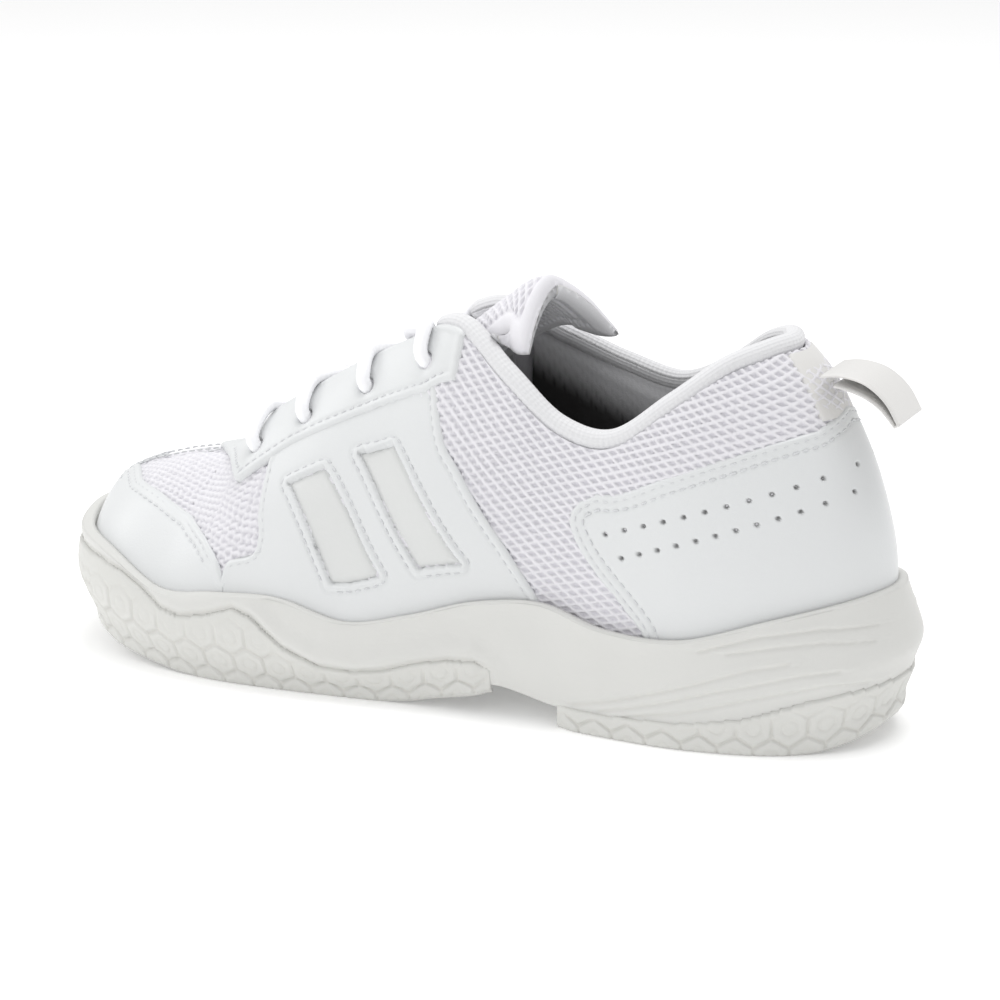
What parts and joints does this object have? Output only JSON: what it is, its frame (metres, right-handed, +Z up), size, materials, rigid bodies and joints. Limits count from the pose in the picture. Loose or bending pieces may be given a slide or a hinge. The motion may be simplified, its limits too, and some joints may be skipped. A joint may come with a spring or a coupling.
{
  "type": "lace-up cheerleading shoe",
  "caption": "Low lace-up cheer shoe for the left foot, with mesh and coated-leather upper, padded hinged tongue, heel pull tab, stitched cup sole and split outsole.",
  "frame": {"origin": "middle of the shoe's bounding box, on the ground plane under the tread", "axes": "toe points to -X and heel to +X, the outer side of the foot faces -Y, +Z is up"},
  "size_m": [0.27, 0.091, 0.1235],
  "materials": {
    "sole_rubber": "matt warm off-white rubber",
    "sole_foam": "moulded off-white foam, satin skin",
    "synthetic_leather": "cool white coated leather, soft sheen",
    "window_insert": "pale grey-white coated leather",
    "mesh_textile": "white knitted mesh, faint lilac cast",
    "knit_lining": "soft brushed white knit",
    "padding": "open-cell foam",
    "satin_ribbon": "off-white satin tape",
    "lace_braid": "white flat-braided polyester cord",
    "aglet_film": "clear white film tip",
    "board": "pale fibre board",
    "stiffener": "thermoplastic sheet"
  },
  "bodies": {
    "shoe": {"outsole_forefoot": "sole_rubber", "outsole_heel": "sole_rubber", "midsole": "sole_foam", "shank": "stiffener", "insole_board": "board", "sockliner": "knit_lining", "toe_puff": "stiffener", "toe_cap": "synthetic_leather", "vamp_mesh": "mesh_textile", "vamp_lining": "knit_lining", "eyestay": "synthetic_leather", "side_panel_lateral": "synthetic_leather", "side_panel_medial": "synthetic_leather", "window_insert_lateral_front": "window_insert", "window_insert_lateral_rear": "window_insert", "window_insert_medial_front": "window_insert", "window_insert_medial_rear": "window_insert", "quarter_mesh_lateral": "mesh_textile", "quarter_mesh_medial": "mesh_textile", "heel_counter_overlay": "synthetic_leather", "heel_stiffener": "stiffener", "collar_foam": "padding", "collar_lining": "knit_lining", "collar_roll": "knit_lining", "pull_tab_base": "satin_ribbon", "tongue_lower_face": "mesh_textile", "tongue_lower_padding": "padding", "shoelace": "lace_braid", "aglet_lateral": "aglet_film", "aglet_medial": "aglet_film"},
    "tongue_top": {"tongue_top_face": "mesh_textile", "tongue_top_padding": "padding", "tongue_top_lining": "knit_lining"},
    "pull_tab": {"pull_tab_loop": "satin_ribbon"}
  },
  "joints": [
    {"name": "tongue_bend", "type": "hinge", "parent": "shoe", "child": "tongue_top", "pos_m": [0, 0, 0.1097], "axis": [0, 1, 0], "range_deg": [-75, 4]},
    {"name": "pull_tab_bend", "type": "hinge", "parent": "shoe", "child": "pull_tab", "pos_m": [0.107, 0, 0.1048], "axis": [0, 1, 0], "range_deg": [-90, 8]}
  ]
}
